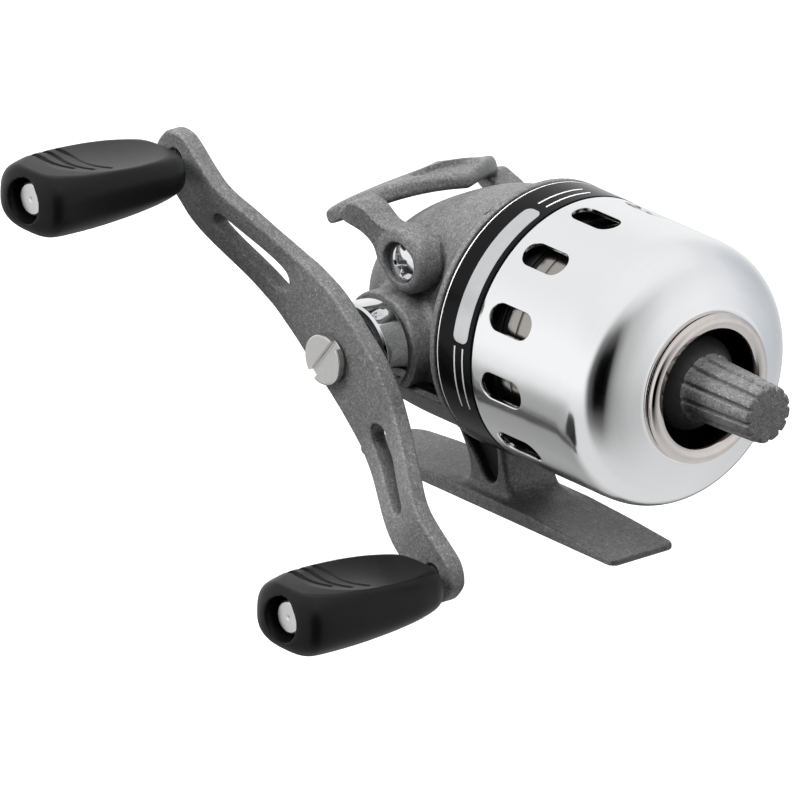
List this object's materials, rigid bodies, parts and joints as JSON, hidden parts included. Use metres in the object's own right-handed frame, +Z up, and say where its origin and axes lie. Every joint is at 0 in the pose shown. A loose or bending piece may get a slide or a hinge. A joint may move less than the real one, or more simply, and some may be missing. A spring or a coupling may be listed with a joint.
{
  "type": "spincast fishing reel",
  "caption": "Closed-face spincast fishing reel with ventilated aluminium cover, rear thumb lever, nose drag knob and double paddle handle on a foot for a rod seat.",
  "frame": {"origin": "centre of the foot's flat underside, on the reel's middle plane", "axes": "+X forward along the spool axis, the way the line leaves; +Z up from the rod to the reel; the handle is on the -Y side"},
  "size_m": [0.1183, 0.0946, 0.0647],
  "materials": {
    "grey_casting": "grey metallic fleck paint on a light alloy casting, satin",
    "bright_aluminium": "spun and finely brushed bright aluminium, satin",
    "gloss_black_band": "gloss black printed band with thin white rules",
    "polished_steel": "polished hard-plated steel",
    "chrome": "bright chrome plate",
    "black_soft_plastic": "satin black moulded plastic",
    "dark_fleck": "dark grey fleck finish",
    "spool_black": "dark moulded plastic",
    "black_rubber": "black rubber",
    "machined_steel": "plain machined steel",
    "gear_alloy": "die-cast gear alloy",
    "brass": "machined brass",
    "felt": "oiled wool felt",
    "line": "clear nylon monofilament, wound"
  },
  "bodies": {
    "frame": {"main_frame": "grey_casting", "rear_housing": "grey_casting", "front_cover": "bright_aluminium", "label_band": "gloss_black_band", "guide_ring": "polished_steel", "line_brake_ring": "black_rubber", "bearing_retainer": "chrome", "pinion_bearing_keeper": "machined_steel", "keeper_screw_lower": "machined_steel", "keeper_screw_upper": "machined_steel", "housing_screw_top": "machined_steel", "housing_screw_near": "machined_steel", "housing_screw_far": "machined_steel", "pinion_bearing_outer_race": "machined_steel", "crank_bearing_near_outer_race": "machined_steel", "crank_bearing_far_outer_race": "machined_steel", "carriage_spring_near": "machined_steel", "carriage_spring_far": "machined_steel", "pawl_pin": "machined_steel"},
    "crank": {"crank_shaft": "machined_steel", "drive_gear": "gear_alloy", "ratchet_wheel": "machined_steel", "oscillation_cam": "brass", "handle_arm": "grey_casting", "handle_screw": "chrome", "knob_pin_lower": "machined_steel", "knob_pin_upper": "machined_steel", "crank_bearing_near_inner_race": "machined_steel", "crank_bearing_far_inner_race": "machined_steel"},
    "lower_knob": {"knob_lower": "black_soft_plastic"},
    "upper_knob": {"knob_upper": "black_soft_plastic"},
    "near_crank_balls": {"crank_bearing_near_ball_cage": "machined_steel"},
    "far_crank_balls": {"crank_bearing_far_ball_cage": "machined_steel"},
    "pinion_balls": {"pinion_bearing_ball_cage": "machined_steel"},
    "pinion": {"pinion_gear": "brass", "pinion_bearing_inner_race": "machined_steel"},
    "lever": {"thumb_lever": "grey_casting", "lever_cam_near": "machined_steel", "lever_cam_far": "machined_steel", "lever_screw_near": "chrome", "lever_screw_far": "chrome"},
    "carriage": {"push_carriage": "machined_steel"},
    "winding_rotor": {"rotor": "spool_black", "winding_cup": "polished_steel"},
    "pickup": {"pickup_pin": "polished_steel"},
    "shaft": {"main_shaft": "machined_steel", "oscillation_yoke": "machined_steel", "yoke_pin": "machined_steel", "drag_washer_steel": "machined_steel", "drag_pressure_washer": "machined_steel", "drag_spring": "machined_steel"},
    "spool_unit": {"spool": "spool_black", "line_pack": "line", "drag_washer_felt_inner": "felt", "drag_washer_felt_outer": "felt"},
    "drag_control": {"drag_knob": "dark_fleck"},
    "pawl": {"anti_reverse_pawl": "machined_steel"}
  },
  "joints": [
    {"name": "crank_spin", "type": "hinge", "parent": "frame", "child": "crank", "pos_m": [-0.0125, 0, 0.0292], "axis": [0, 1, 0], "continuous": true},
    {"name": "lower_knob_spin", "type": "hinge", "parent": "crank", "child": "lower_knob", "pos_m": [0.0217, -0.05, 0.00248], "axis": [0, 1, 0], "continuous": true},
    {"name": "upper_knob_spin", "type": "hinge", "parent": "crank", "child": "upper_knob", "pos_m": [-0.0467, -0.05, 0.05592], "axis": [0, 1, 0], "continuous": true},
    {"name": "near_crank_balls_roll", "type": "hinge", "parent": "frame", "child": "near_crank_balls", "pos_m": [-0.0125, -0.0169, 0.0292], "axis": [0, 1, 0], "continuous": true},
    {"name": "far_crank_balls_roll", "type": "hinge", "parent": "frame", "child": "far_crank_balls", "pos_m": [-0.0125, 0.0107, 0.0292], "axis": [0, 1, 0], "continuous": true},
    {"name": "pinion_balls_roll", "type": "hinge", "parent": "frame", "child": "pinion_balls", "pos_m": [0.0031, 0, 0.0353], "axis": [1, 0, 0], "continuous": true},
    {"name": "pinion_spin", "type": "hinge", "parent": "frame", "child": "pinion", "pos_m": [0.0035, 0, 0.0353], "axis": [1, 0, 0], "continuous": true},
    {"name": "lever_press", "type": "hinge", "parent": "frame", "child": "lever", "pos_m": [-0.01, 0, 0.0441], "axis": [0, -1, 0], "range_deg": [0, 16], "stiffness_Nm_per_rad": 0.05},
    {"name": "carriage_push", "type": "slide", "parent": "frame", "child": "carriage", "axis": [1, 0, 0], "range_m": [0, 0.0022]},
    {"name": "rotor_spin", "type": "hinge", "parent": "carriage", "child": "winding_rotor", "pos_m": [0.0145, 0, 0.0353], "axis": [1, 0, 0], "continuous": true},
    {"name": "pickup_retract", "type": "slide", "parent": "winding_rotor", "child": "pickup", "axis": [0, 0.6157, 0.788], "range_m": [-0.0013, 0]},
    {"name": "spool_oscillation", "type": "slide", "parent": "frame", "child": "shaft", "axis": [1, 0, 0], "range_m": [-0.0015, 0.0015]},
    {"name": "spool_drag_slip", "type": "hinge", "parent": "shaft", "child": "spool_unit", "pos_m": [0.0245, 0, 0.0353], "axis": [1, 0, 0], "continuous": true},
    {"name": "drag_adjust", "type": "hinge", "parent": "shaft", "child": "drag_control", "pos_m": [0.0545, 0, 0.0353], "axis": [1, 0, 0], "range_deg": [-270, 270]},
    {"name": "pawl_swing", "type": "hinge", "parent": "frame", "child": "pawl", "pos_m": [-0.0028, -0.00885, 0.0213], "axis": [0, 1, 0], "range_deg": [0, 10]}
  ],
  "couplings": [
    {"joint": "pinion_spin", "follows": "crank_spin", "ratio": 4.125},
    {"joint": "rotor_spin", "follows": "crank_spin", "ratio": 4.125},
    {"joint": "near_crank_balls_roll", "follows": "crank_spin", "ratio": 0.4194},
    {"joint": "far_crank_balls_roll", "follows": "crank_spin", "ratio": 0.3721},
    {"joint": "pinion_balls_roll", "follows": "crank_spin", "ratio": 1.65},
    {"joint": "lever_press", "follows": "carriage_push", "rad_per_m": 126.93},
    {"joint": "pickup_retract", "follows": "carriage_push", "ratio": -0.59091}
  ]
}
